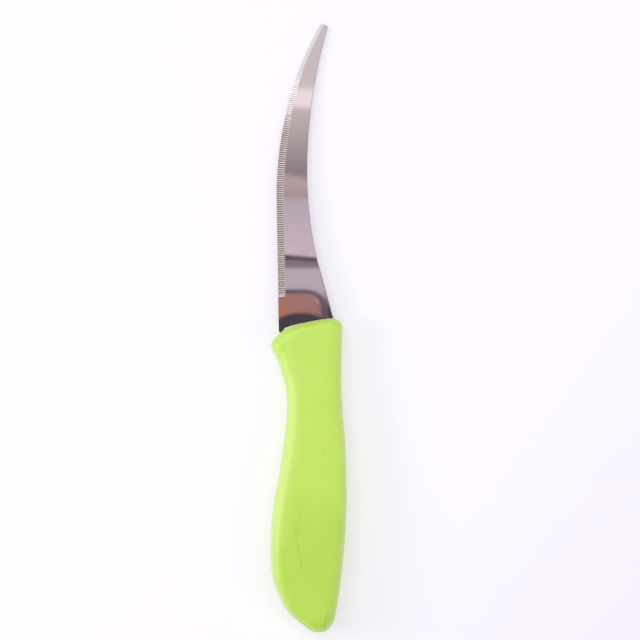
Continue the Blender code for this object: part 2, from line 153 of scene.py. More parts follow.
# Fineness of the forms
EDGE_STEPS = 60
SPINE_STEPS = 40
CORNER_STEPS = 8
ROUND_STEPS = 32
GROOVE_STEPS = 28
SHOULDER_STEPS = 12
NOSE_STEPS = 12
SPAN_STEPS = 6
FLAT_COLUMNS = 7
OUTLINE_STEPS = 90
LIP_STEPS = 24
ARRIS_STEPS = 5
WIDEST_ROUNDING = 0.45  # share of a section that one side's rounding may take
SLOPE_STEP = 0.0002  # distance over which a side's slope is taken
LEAST_STEEPNESS = 0.5
WELD = 1e-6  # points closer than this are one
PAST = 0.0012  # how far a cutter reaches out of the steel
ON_EDGE = 0.0005  # a point this close to the cutting edge's arc isn't on the spine
SAME_PLANE = 1e-4  # faces that turn less than this are joined to one
SQUARE_EDGE = math.radians(60)  # an edge sharper than this is one of the plate's square edges
BLADE_CREASE = math.radians(30)  # edges sharper than this stay sharp
GRIP_CREASE = math.radians(40)
LEVEL = 0.9999  # upward part of the normal from which a face is flat

EDGE_CENTRE = Vector((EDGE_X + EDGE_RADIUS, EDGE_BELLY_Y))
TIP_ANGLE = math.asin((BLADE_LENGTH - EDGE_BELLY_Y) / EDGE_RADIUS)
EDGE_ARC_LENGTH = EDGE_RADIUS * (TIP_ANGLE + EDGE_LEAN)
HALF_BLADE = BLADE_THICKNESS / 2

# The photograph's framing, in the knife's own frame
PHOTO_CENTRE = Vector((0.00418, 0.00285, 0))
PHOTO_WIDTH = 0.2432
CAMERA_DISTANCE = 1.5
SENSOR = 0.036
VIEW_DEPTH = 10
CAMERA_NUDGE = Vector((0, -0.0002, 0))

# Steel. Scales of noises are in waves to the metre, and their ranges are where they take effect
STEEL_TONES = ((0.61, 0.595, 0.60), (0.65, 0.63, 0.64))
STEEL_ROUGHNESS = (0.018, 0.035)
HAZE_SCALE = 70
HAZE_RANGE = (0.3, 0.7)
ROLLED_SCALE = (2500, 90, 90)
ROLLED_DEPTH = 0.0000002
WAVE_SCALE = 55
WAVE_DEPTH = 0.000004
WORN_EDGE = 0.0003  # width of the worn line along the cutting edge
WORN_TONE = (0.42, 0.40, 0.41)
WORN_COVER = 0.75
WORN_ROUGHNESS = 0.12
SCUFF_ROUGHNESS = 0.22
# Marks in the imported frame: start, end, reach, strength
STEEL_SCUFFS = (
    ((-0.0064, 0.0330), (-0.0044, 0.0324), 0.00022, 0.5),
    ((-0.0028, 0.0284), (0.0004, 0.0300), 0.00022, 0.6),
    ((-0.0016, 0.0267), (0.0012, 0.0296), 0.00018, 0.5),
    ((-0.0052, 0.0270), (-0.0034, 0.0276), 0.00020, 0.4),
    ((-0.0090, 0.0530), (-0.0078, 0.0545), 0.00012, 0.4),
)

# Lime rubber: a tone, how fully it covers, and the noise that spreads it
LIME_TONES = ((0.51, 0.855, 0.059), (0.555, 0.865, 0.067))
BLOTCH_TONE = (0.51, 0.87, 0.086)
SMUDGE_TONE = (0.49, 0.805, 0.047)
# tone of the painted shade towards the butt
BUTT_SHADE_TONE = (0.445, 0.755, 0.040)
# tone of the painted highlight along the belly side
PAINTED_SHEEN_TONE = (0.592, 0.862, 0.122)
MARK_TONE = (0.30, 0.52, 0.04)
# tone of the painted highlight on the lip of rubber
LIP_HIGHLIGHT_TONE = (0.76, 0.83, 0.46)
BLOTCH_COVER = 0.5
SMUDGE_COVER = 0.35
# how fully the painted shade towards the butt covers
BUTT_SHADE_COVER = 0.55
# how fully the painted highlight on the belly side covers, from the noise
PAINTED_SHEEN_COVER = (0.7, 1.0)
MARK_COVER = 0.6
CLOUD_SCALE = 60
CLOUD_RANGE = (0.35, 0.65)
CLOUD_SHEEN_RANGE = (0.4, 0.6)
BLOTCH_SCALE = 150
BLOTCH_STRETCH = (1.0, 0.45, 1.0)
BLOTCH_RANGE = (0.5, 0.75)
SMUDGE_SCALE = 130
SMUDGE_RANGE = (0.55, 0.8)
SMUDGE_GLOSS_RANGE = (0.3, 0.7)
GRAIN_SCALE = 5200
GRAIN_DEPTH = 0.000006
MARK_DEPTH = 0.00003
RUBBER_ROUGHNESS = (0.38, 0.50)
POLISHED_BY_WEAR = 0.06
WORN_CORNERS = (0.50, 0.56)  # Pointiness from which the rubber is worn, and where it is fully worn
RUBBER_GLOSS = {
    "Specular IOR Level": 0.95,
    "Specular Tint": (1.0, 0.55, 1.0, 1),
    "Sheen Weight": 0.4,
    "Sheen Roughness": 0.4,
    "Sheen Tint": (1.0, 0.85, 1.0, 1),
}
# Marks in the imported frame: start, end, reach, strength
GRIP_MARKS = (
    ((-0.0049, -0.0781), (-0.0023, -0.0910), 0.00028, 0.9),
    ((-0.0038, -0.0675), (-0.0027, -0.0770), 0.00024, 0.45),
    ((-0.0057, -0.0762), (-0.0034, -0.0777), 0.00028, 0.5),
    ((-0.0046, -0.0735), (-0.0049, -0.0781), 0.00032, 0.7),
    ((-0.0054, -0.0735), (-0.0038, -0.0765), 0.00110, 0.25),
    ((0.0084, -0.0697), (0.0080, -0.0743), 0.00022, 0.6),
    ((0.0061, -0.0443), (0.0057, -0.0473), 0.00022, 0.5),
    ((-0.0023, -0.0500), (-0.0019, -0.0515), 0.00025, 0.6),
    ((0.0011, -0.0175), (0.0023, -0.0177), 0.00020, 0.45),
    ((0.0023, -0.0982), (0.0038, -0.0986), 0.00022, 0.4),
    ((0.0068, -0.1085), (0.0057, -0.1142), 0.00050, 0.9),
    ((0.0088, -0.1085), (0.0078, -0.1135), 0.00110, 0.45),
)
# Painted highlight along the lip of rubber at the rim, as marks
LIP_HIGHLIGHT = (
    ((-0.0096, -0.0009), (-0.0052, 0.0009), 0.0007, 1.0),
    ((-0.0052, 0.0009), (-0.0016, 0.0018), 0.0006, 0.7),
)
# Painted highlight: the belly side made paler along this line, where the light's soft reflection lies
PAINTED_SHEEN_LINE = (
    (-0.0082, -0.0075),
    (-0.0071, -0.0140),
    (-0.0057, -0.0200),
    (-0.0051, -0.0285),
    (-0.0056, -0.0420),
    (-0.0073, -0.0520),
    (-0.0091, -0.0620),
    (-0.0104, -0.0740),
    (-0.0102, -0.0800),
)
PAINTED_SHEEN_REACH = 0.0035
# Painted shade: towards the butt, where its faces turn away from the light, the rubber is darker: the
# middle and the length of the change
BUTT_SHADE_FROM = -0.0690
BUTT_SHADE_FADE = 0.018

# Core and floor
CORE_TONES = ((0.72, 0.72, 0.68), (0.80, 0.80, 0.76))
CORE_ROUGHNESS = (0.4, 0.55)
CORE_CLOUD_SCALE = 80
CORE_GRAIN_SCALE = 3000
CORE_GRAIN_DEPTH = 0.00001
FLOOR_TONES = ((0.59, 0.58, 0.60), (0.61, 0.60, 0.62))
FLOOR_SHADE_TONE = (0.55, 0.53, 0.59)  # painted shade: the floor darker towards +x and -y, where the light falls off
FLOOR_FADE = (0.10, 0.24)  # of x - y
FLOOR_CLOUD_SCALE = 3
FLOOR_ROUGHNESS = 0.7
FLOOR_SIZE = 4
FLOOR_SQUARES = 8

# Light. The world has one glow as a light, one in mirrors and one for the camera
LIGHT_DISTANCE = 1.1
MIRRORED_DISTANCE = 0.9
WORLD_LIGHT = (0.54, 0.535, 0.56)
WORLD_MIRRORED = (0.34, 0.27, 0.255)
WORLD_SEEN = (0.93, 0.92, 0.94)
FLOOR_GLOW = (0.41, 0.39, 0.43)

# Lamps: azimuth and elevation in degrees, size in metres, watts
LAMPS = {
    "window_low": (180, 30, 0.35, 2.65),
    "window_high": (135, 55, 0.7, 1.5),
    "overhead": (90, 89, 1.0, 3.0),
    "right_fill": (335, 40, 0.3, 0.85),
}
# Cards that only reflections see: azimuth and elevation in degrees, size in metres, glow
MIRRORED_CARDS = {
    "left_low": (188, 6, 0.5, (3.2, 3.1, 3.4)),
    "left_middle": (178, 22, 0.34, (2.0, 1.7, 1.8)),
    "left": (184, 44, 0.5, (0.42, 0.33, 0.32)),
    "corner_low": (148, 12, 0.5, (1.20, 1.13, 1.13)),
    "corner": (136, 33, 0.5, (2.2, 1.88, 1.83)),
    "upper": (90, 50, 0.7, (1.3, 1.3, 1.3)),
    "right": (0, 22, 0.6, (1.5, 1.6, 2.2)),
}

# The bright floor that the grip's belly side mirrors: two corners, height over the floor, and glow
FLOOR_CARD = ((-0.120, -0.125), (-0.016, -0.006), 0.0004)
FLOOR_CARD_GLOW = (1.6, 1.45, 1.7)

# The card with the room that the blade mirrors
ROOM_HEIGHT = 0.3
ROOM_CORNERS = ((-0.045, -0.02), (0.045, -0.02), (0.045, 0.14), (-0.045, 0.14))
# Its tones, as glow
TONES = {
    "pale": (1.29, 1.15, 1.16),
    "mauve": (0.93, 0.80, 0.82),
    "beige": (0.89, 0.74, 0.74),
    "shade": (0.43, 0.34, 0.36),
    "sand": (0.69, 0.54, 0.54),
    "deep_sand": (0.62, 0.48, 0.48),
    "lilac": (0.73, 0.61, 0.71),
    "pale_lilac": (0.88, 0.72, 0.81),
    "line": (0.16, 0.11, 0.15),
    "slate": (0.34, 0.27, 0.32),
    "grey": (0.73, 0.62, 0.70),
    "plum": (0.18, 0.13, 0.18),
    "copper": (0.56, 0.27, 0.25),
    "rust": (0.46, 0.215, 0.225),
    "navy": (0.10, 0.08, 0.095),
    "glint": (0.80, 0.56, 0.56),
    "ember": (0.66, 0.28, 0.17),
}
# Its bands from the tip to the heel, in the blade's own coordinates. A band begins where
# y + slant * x + bow * x * x falls below its place: (place, softness, slant, bow, tone)
FIRST_TONE = "mauve"
ROOM_BANDS = (
    (0.0908, 0.0030, 0.00, 0, "pale"),
    (0.0832, 0.0022, 0.08, 0, "beige"),
    (0.0717, 0.0245, 0.00, 0, "shade"),
    (0.0562, 0.0022, 0.20, 0, "sand"),
    (0.0520, 0.0020, 0.00, 0, "deep_sand"),
    (0.0486, 0.0015, 0.00, 0, "lilac"),
    (0.0386, 0.0160, 0.00, 0, "pale_lilac"),
    (0.0264, 0.0009, 0.09, 0, "line"),
    (0.0246, 0.0010, 0.07, 0, "slate"),
    (0.0220, 0.0012, 0.00, 0, "grey"),
    (0.0115, 0.0040, 0.00, 0, "slate"),
    (0.0075, 0.0030, 0.00, 0, "navy"),
)
# The brown patch near the heel, with one round corner, a dark rim and a band of its own
PATCH_BANDS = (
    (0.0048, 0.0012, 0.157, 29, "navy"),
)
PATCH_CORNER = Vector((0.0004, 0.0063))  # centre of the round corner
PATCH_RADIUS = 0.0068
PATCH_LEAN = 0.10
PATCH_RIM = (-0.0008, 0.0008)
RIM_GAIN = 0.0009  # how much wider the rim is on its right, and the x over which it widens
RIM_GAIN_X = (0.0015, 0.0055)
PATCH_SOFTNESS = 0.0005
RUST_X = 0.0037
RUST_SOFTNESS = 0.0016
# A small light place and a large warm one on it: start, end, reach
GLINT = ((0.0022, 0.0122), (0.0037, 0.0090), 0.0009)
EMBER = ((-0.0110, 0.0035), (-0.0095, 0.0065), 0.0036)


def to_rest():
    return Matrix.Translation(REST_SHIFT) @ Matrix.Rotation(REST_TILT, 4, "X")


def mesh_object(name, bm):
    mesh = bpy.data.meshes.new(name)
    bm.to_mesh(mesh)
    bm.free()
    made = bpy.data.objects.new(name, mesh)
    bpy.context.scene.collection.objects.link(made)
    return made


def plate(name, outlines, thickness):
    """A flat plate about z = 0 from closed outlines, of which the inner ones are holes."""
    curve = bpy.data.curves.new(name, "CURVE")
    curve.dimensions = "2D"
    curve.fill_mode = "BOTH"
    curve.extrude = thickness / 2
    for outline in outlines:
        spline = curve.splines.new("POLY")
        spline.points.add(len(outline) - 1)
        for point, place in zip(spline.points, outline):
            point.co = (place[0], place[1], 0, 1)
        spline.use_cyclic_u = True
    drawn = bpy.data.objects.new(name + "_outline", curve)
    bpy.context.scene.collection.objects.link(drawn)
    bpy.context.view_layer.update()
    evaluated = drawn.evaluated_get(bpy.context.evaluated_depsgraph_get())
    bm = bmesh.new()
    bm.from_mesh(evaluated.to_mesh())
    evaluated.to_mesh_clear()
    bpy.data.objects.remove(drawn)
    bmesh.ops.remove_doubles(bm, verts=bm.verts, dist=WELD)
    return mesh_object(name, bm)


def loft(name, rings):
    """A closed form through rings of equal count."""
    bm = bmesh.new()
    rows = [[bm.verts.new(place) for place in ring] for ring in rings]
    for row, following in zip(rows, rows[1:]):
        for i in range(len(row)):
            j = (i + 1) % len(row)
            bm.faces.new((row[i], row[j], following[j], following[i]))
    for row in (rows[0], rows[-1]):
        bm.faces.new(row)
    bmesh.ops.remove_doubles(bm, verts=bm.verts, dist=WELD)
    bmesh.ops.recalc_face_normals(bm, faces=bm.faces)
    if bm.calc_volume(signed=True) < 0:
        bmesh.ops.reverse_faces(bm, faces=bm.faces)
    return mesh_object(name, bm)


def cut(target, cutter, operation="DIFFERENCE"):
    modifier = target.modifiers.new(cutter.name, "BOOLEAN")
    modifier.operation = operation
    modifier.solver = "EXACT"
    modifier.object = cutter


def settle(made, *cutters):
    """Applies an object's modifiers and removes what cut it."""
    bpy.context.view_layer.update()
    evaluated = made.evaluated_get(bpy.context.evaluated_depsgraph_get())
    mesh = bpy.data.meshes.new_from_object(evaluated)
    made.modifiers.clear()
    made.data = mesh
    for cutter in cutters:
        bpy.data.objects.remove(cutter, do_unlink=True)


def arc(centre, radius, start, end, steps):
    return [
        centre + radius * Vector((math.cos(a), math.sin(a)))
        for a in np.linspace(start, end, steps + 1)
    ]


def corner(before, at, after, radius):
    """The corner at a point, rounded between the straight lines to the points before and after it."""
    back, on = (before - at).normalized(), (after - at).normalized()
    half = back.angle(on) / 2
    reach = radius / math.tan(half)
    middle = at + (back + on).normalized() * radius / math.sin(half)
    first = at + back * reach - middle
    turn = first.angle_signed(at + on * reach - middle)
    return [middle + Matrix.Rotation(-turn * i / CORNER_STEPS, 2) @ first for i in range(CORNER_STEPS + 1)]


def grown(outline, distance):
    """A closed outline, given anticlockwise, moved outwards by a distance."""
    moved = []
    for i, at in enumerate(outline):
        back = (at - outline[i - 1]).normalized()
        on = (outline[(i + 1) % len(outline)] - at).normalized()
        mean = (back + on).normalized()
        outward = Vector((mean.y, -mean.x))
        moved.append(at + outward * distance / mean.dot(on))
    return moved


def edge_at(distance):
    """The point on the cutting edge at a distance from the tip, and the way on towards the heel."""
    angle = max(TIP_ANGLE - distance / EDGE_RADIUS, -EDGE_LEAN)
    point = EDGE_CENTRE + EDGE_RADIUS * Vector((-math.cos(angle), math.sin(angle)))
    way = Vector((-math.sin(angle), -math.cos(angle)))
    return point + way * max(distance - EDGE_ARC_LENGTH, 0), way


def edge_distance(y):
    start, way = edge_at(EDGE_ARC_LENGTH)
    return EDGE_ARC_LENGTH + (y - start.y) / way.y


def spine_points():
    to_tip = edge_at(0)[0] + Vector((TIP_WIDTH, -TIP_SLANT)) - SPINE_HOLLOW
    tip_radius = to_tip.length_squared / (2 * to_tip.x)
    rise = math.asin(to_tip.y / tip_radius)
    heel_centre = SPINE_HOLLOW + Vector((SPINE_HEEL_RADIUS, 0))
    tip_centre = SPINE_HOLLOW + Vector((tip_radius, 0))
    lower = arc(heel_centre, SPINE_HEEL_RADIUS, math.pi + SPINE_SLOPE, math.pi, SPINE_STEPS)
    upper = arc(tip_centre, tip_radius, math.pi, math.pi - rise, SPINE_STEPS)
    foot = lower[0] + Vector((math.tan(SPINE_SLOPE), -1)) * (lower[0].y - SHOULDER_Y)
    return [foot] + lower + upper[1:]


def blade_outline():
    spine = spine_points()
    tip, heel = edge_at(0)[0], edge_at(edge_distance(HEEL_Y))[0]
    edge = [edge_at(d)[0] for d in np.linspace(2 * TIP_RADIUS, EDGE_ARC_LENGTH, EDGE_STEPS)]
    tang_end = HEEL_Y - TANG_LENGTH
    left_root = Vector((TANG_X - TANG_WIDTH / 2, HEEL_Y))
    right_root = Vector((TANG_X + TANG_WIDTH / 2, SHOULDER_Y))
    left_end = Vector((TANG_X - TANG_END_WIDTH / 2, tang_end))
    right_end = Vector((TANG_X + TANG_END_WIDTH / 2, tang_end))
    return (
        corner(spine[-1], tip, edge[0], TIP_RADIUS)
        + edge
        + corner(edge[-1], heel, left_root, HEEL_RADIUS)
        + corner(heel, left_root, left_end, HEEL_NOTCH_RADIUS)
        + corner(left_root, left_end, right_end, TANG_END_RADIUS)
        + corner(left_end, right_end, right_root, TANG_END_RADIUS)
        + corner(right_end, right_root, spine[0], SHOULDER_NOTCH_RADIUS)
        + corner(right_root, spine[0], spine[1], SHOULDER_RADIUS)
        + spine[1:-1]
        + corner(spine[-2], spine[-1], tip, TIP_RADIUS)
    )


def window_outlines(radius):
    middles = [Vector((TANG_X, HEEL_Y - FIRST_WINDOW - i * WINDOW_PITCH)) for i in range(WINDOW_COUNT)]
    return [arc(middle, radius, 0, math.tau, ROUND_STEPS)[1:] for middle in middles]


def bevel_width(distance):
    width = np.interp(
        distance, (0, SERRATION_START, BEVEL_FULL_FROM_TIP), (TIP_BEVEL_WIDTH, TIP_BEVEL_WIDTH, BEVEL_WIDTH)
    )
    into_run_out = max(distance - SERRATION_END + RUN_OUT, 0) / RUN_OUT
    return width * math.sqrt(max(1 - into_run_out**2, 0))


def bevel_slope(distance):
    return (BLADE_THICKNESS - EDGE_LAND) / bevel_width(min(distance, SERRATION_END - RUN_OUT))


def bevel_cutter():
    run_out = SERRATION_END - RUN_OUT * (1 - np.sin(np.linspace(0, math.pi / 2, 2 * CORNER_STEPS)))
    distances = [-PAST, *np.linspace(0, SERRATION_END - RUN_OUT, 2 * EDGE_STEPS), *run_out[1:]]
    rings = []
    for distance in distances:
        (at, way), slope = edge_at(distance), bevel_slope(distance)
        inward = Vector((-way.y, way.x))
        inner = bevel_width(distance) + PAST
        top = HALF_BLADE + PAST * slope
        low = top - (inner + PAST) * slope
        near, far = at + inward * inner, at - inward * PAST
        rings.append([(near.x, near.y, top), (far.x, far.y, low), (far.x, far.y, top)])
    return loft("bevel_cutter", rings)


def groove_cutters():
    bm = bmesh.new()
    count = int((SERRATION_END - SERRATION_START) / GROOVE_PITCH)
    for i in range(count):
        distance = SERRATION_START + (i + 0.5) * GROOVE_PITCH
        (at, way), slope = edge_at(distance), bevel_slope(distance)
        width = bevel_width(distance)
        inward = Vector((-way.y, way.x, 0))
        along = Vector((inward.x, inward.y, slope)).normalized()
        out_of_bevel = Vector((way.x, way.y, 0)).cross(along)
        out_of_bevel *= math.copysign(1, out_of_bevel.z)
        middle = Vector((at.x, at.y, HALF_BLADE)) + inward * width / 2 - Vector((0, 0, slope * width / 2))
        place = Matrix((Vector((way.x, way.y, 0)), out_of_bevel, along)).transposed().to_4x4()
        place.translation = middle + out_of_bevel * (GROOVE_RADIUS - GROOVE_DEPTH)
        bmesh.ops.create_cone(
            bm,
            cap_ends=True,
            segments=GROOVE_STEPS,
            radius1=GROOVE_RADIUS,
            radius2=GROOVE_RADIUS,
            depth=width / inward.dot(along) + 2 * PAST,
            matrix=place,
        )
    bmesh.ops.recalc_face_normals(bm, faces=bm.faces)
    return mesh_object("groove_cutters", bm)


def smooth(knots, values, at):
    """A smooth curve through values at knots, read at one place or at several."""
    knots, values = np.asarray(knots, float), np.asarray(values, float)
    slopes = np.gradient(values, knots)
    at = np.clip(at, knots[0], knots[-1])
    i = np.clip(np.searchsorted(knots, at, side="right") - 1, 0, len(knots) - 2)
    span = knots[i + 1] - knots[i]
    t = (at - knots[i]) / span
    return (
        (1 + 2 * t) * (1 - t) ** 2 * values[i]
        + t * (1 - t) ** 2 * span * slopes[i]
        + t * t * (3 - 2 * t) * values[i + 1]
        - t * t * (1 - t) * span * slopes[i + 1]
    )


def handle_sides(back):
    knots, *columns = zip(*HANDLE_SECTIONS)
    belly_x, belly_y, back_x, back_y = (smooth(knots, column, back) for column in columns)
    return Vector((belly_x, belly_y)), Vector((back_x, back_y))


def half_thickness(back):
    knots = (0, SWELL_BACK, BUTT_BACK, HANDLE_LENGTH)
    halves = (COLLAR_THICKNESS / 2, SWELL_THICKNESS / 2, BUTT_THICKNESS / 2, BUTT_THICKNESS / 2)
    return smooth(knots, halves, back)


def side_steepness(back):
    ahead = handle_sides(max(back - SLOPE_STEP, 0))
    behind = handle_sides(min(back + SLOPE_STEP, HANDLE_LENGTH))
    across = (ahead[1] - ahead[0]).normalized()
    ways = [(b - a).normalized() for a, b in zip(ahead, behind)]
    return [max(abs(across.cross(way)), LEAST_STEEPNESS) for way in ways]


def edge_roundings(back):
    share = np.interp(back, (BUTT_STARTS, HANDLE_LENGTH), (0, 1))
    return [shoulder + (BUTT_SHOULDER - shoulder) * share for shoulder in (BELLY_SHOULDER, BACK_SHOULDER)]


def handle_row(back, inset):
    """Places across the handle's plan at a distance behind the rim, with its sides drawn in by inset."""
    belly, spine_side = handle_sides(back)
    chord = spine_side - belly
    full = max(chord.length, WELD)
    at_belly, at_back = side_steepness(back)
    first, last = inset / at_belly, chord.length - inset / at_back
    belly_reach, back_reach = edge_roundings(back)
    belly_reach = min(belly_reach / at_belly, (last - first) * WIDEST_ROUNDING)
    back_reach = min(back_reach / at_back, (last - first) * WIDEST_ROUNDING)
    bends = [1 - math.cos(math.pi / 2 * i / SHOULDER_STEPS) for i in range(SHOULDER_STEPS + 1)]
    bends.insert(1, SEAM_BEND)
    columns = [first + belly_reach * bend for bend in bends]
    flat = np.linspace(columns[-1], last - back_reach, FLAT_COLUMNS + 2)[1:-1]
    columns += [*flat, *(last - back_reach * bend for bend in reversed(bends))]
    arch = RIM_ARCH * max(1 - back / ARCH_FADE, 0) ** 2
    to_tip = Vector((-chord.y, chord.x)) / full
    return [belly + chord * c / full + to_tip * arch * 4 * c * (full - c) / full**2 for c in columns]


def rounded(distance, reach):
    short = 1 - min(distance / reach, 1)
    return math.sqrt(max(1 - short * short, 0))


def handle_form(name, inset, end):
    """The handle's form down to an end behind the rim, with all its faces drawn in by inset."""
    quarter = 1 - np.cos(np.linspace(0, math.pi / 2, NOSE_STEPS + 1))
    nose = inset + RIM_ROUNDING * quarter
    tail = end - BUTT_SHOULDER * quarter[::-1]
    knots = [section[0] for section in HANDLE_SECTIONS]
    steps = np.linspace(0, len(knots) - 1, SPAN_STEPS * (len(knots) - 1) + 1)
    body = np.interp(steps, range(len(knots)), knots)
    closest = min(np.diff(knots)) / SPAN_STEPS / 2
    body = body[(body > nose[-1] + closest) & (body < tail[0] - closest)]
    backs = [*nose, *body, *tail]
    rows = [handle_row(back, inset) for back in backs]
    outline = np.array([row[0] for row in rows] + [row[-1] for row in reversed(rows)])
    belly_roundings, back_roundings = zip(*(edge_roundings(back) for back in backs))
    roundings = np.array(belly_roundings + back_roundings[::-1]) - inset / 2
    starts, spans = outline[:-1], np.diff(outline, axis=0)
    lengths = np.maximum(np.linalg.norm(spans, axis=1), WELD)
    rings = []
    for back, row in zip(backs, rows):
        full = (half_thickness(back) - inset) * rounded(back - inset, RIM_ROUNDING)
        heights = []
        for place in np.array(row):
            along = np.clip(((place - starts) * spans).sum(axis=1) / lengths**2, 0, 1)
            gaps = np.linalg.norm(starts + spans * along[:, None] - place, axis=1)
            nearest = gaps.argmin()
            reach = roundings[nearest] + (roundings[nearest + 1] - roundings[nearest]) * along[nearest]
            heights.append(full * rounded(gaps[nearest], reach))
        chord = row[-1] - row[0]
        across = [(place - row[0]).dot(chord) / max(chord.length_squared, WELD**2) for place in row]
        crown = np.interp(back, *zip(*CROWNS))
        heights = [height * (1 - crown * (2 * c - 1) ** 2) for height, c in zip(heights, across)]
        if inset == 0 and chord.length > BUTT_SHOULDER:
            seam = chord.normalized() * PARTING_RIDGE
            row = [row[0] - seam, *row[1:-1], row[-1] + seam]
        upper = [(place.x, place.y, height) for place, height in zip(row, heights)]
        lower = [(place.x, place.y, -height) for place, height in zip(row, heights)]
        rings.append(upper + lower[-2:0:-1])
    return loft(name, rings)


def handle_outline():
    belly, spine_side = zip(*(handle_sides(back) for back in np.linspace(0, HANDLE_LENGTH, OUTLINE_STEPS)))
    return [*belly, *spine_side[-2::-1], *handle_row(0, 0)[-2:0:-1]]


def tang_step_cutter(side):
    cutter = plate("tang_step_cutter", [grown(handle_outline(), TANG_STEP_SHOWS)], PAST)
    cutter.data.transform(Matrix.Translation((0, 0, side * (TANG_THICKNESS + PAST) / 2)))
    return cutter


def round_arrises(blade):
    """Rounds both edges of the spine. The rounding fades towards the handle and the tip."""
    bm = bmesh.new()
    bm.from_mesh(blade.data)
    bmesh.ops.dissolve_limit(bm, angle_limit=SAME_PLANE, verts=[], edges=bm.edges)
    weights = bm.edges.layers.float.new("bevel_weight_edge")
    starts, ends = SPINE_ARRIS_STARTS, BLADE_LENGTH - SPINE_ARRIS_STARTS
    fades = (starts, starts + SPINE_FADE, ends - SPINE_FADE, ends)
    faded = FADED_ARRIS / SPINE_ARRIS
    for edge in bm.edges:
        middle = (edge.verts[0].co + edge.verts[1].co).xy / 2
        on_spine = starts < middle.y < ends and (middle - EDGE_CENTRE).length < EDGE_RADIUS - ON_EDGE
        if on_spine and edge.calc_face_angle() > SQUARE_EDGE:
            edge[weights] = np.interp(middle.y, fades, (faded, 1, 1, faded))
    bm.to_mesh(blade.data)
    bm.free()
    rounding = blade.modifiers.new("arris", "BEVEL")
    rounding.width = SPINE_ARRIS
    rounding.segments = ARRIS_STEPS
    rounding.limit_method = "WEIGHT"
    rounding.use_clamp_overlap = False
    settle(blade)
    bm = bmesh.new()
    bm.from_mesh(blade.data)
    bmesh.ops.triangulate(bm, faces=bm.faces, ngon_method="EAR_CLIP")
    bm.to_mesh(blade.data)
    bm.free()


def make_blade():
    blade = plate("serrated_blade", [blade_outline(), *window_outlines(WINDOW_RADIUS)], BLADE_THICKNESS)
    round_arrises(blade)
    cutters = [bevel_cutter(), groove_cutters(), tang_step_cutter(1), tang_step_cutter(-1)]
    for cutter in cutters:
        cut(blade, cutter)
    settle(blade, *cutters)
    blade.data.set_sharp_from_angle(angle=BLADE_CREASE)
    for face in blade.data.polygons:
        face.use_smooth = abs(face.normal.z) < LEVEL
    return blade


def rim_lip():
    """The thin lip of rubber that lies against the steel at the rim's belly end."""
    row = handle_row(0, 0)
    chord = row[-1] - row[0]
    to_tip, up = Vector((-chord.y, chord.x, 0)).normalized(), Vector((0, 0, 1))
    turns = np.linspace(0, math.tau, ROUND_STEPS, endpoint=False)
    rings = []
    for share in np.linspace(0, 1, LIP_STEPS + 1):
        at = LIP_STARTS + share * (LIP_ENDS - LIP_STARTS)
        place = row[0] + chord * at
        middle = Vector((*place, LIP_HEIGHT)) + to_tip * (RIM_ARCH * 4 * at * (1 - at) - LIP_BACK)
        radius = LIP_RADIUS * max(math.sin(math.pi * share**0.5), LIP_BLUNT) ** 0.5
        rings.append([middle + radius * (math.cos(a) * to_tip + math.sin(a) * up) for a in turns])
    return loft("rim_lip", rings)


def make_grip():
    grip = handle_form("soft_grip", 0, HANDLE_LENGTH)
    lip = rim_lip()
    cut(grip, lip, "UNION")
    cavity = handle_form("core_clearance", GRIP_WALL, HANDLE_LENGTH - BUTT_WALL)
    mould = plate(
        "blade_clearance",
        [grown(blade_outline(), MOULD_GAP), *window_outlines(WINDOW_RADIUS - MOULD_GAP)],
        TANG_THICKNESS + 2 * MOULD_GAP,
    )
    cut(grip, cavity)
    cut(grip, mould)
    settle(grip, lip, cavity, mould)
    grip.data.shade_smooth()
    grip.data.set_sharp_from_angle(angle=GRIP_CREASE)
    return grip


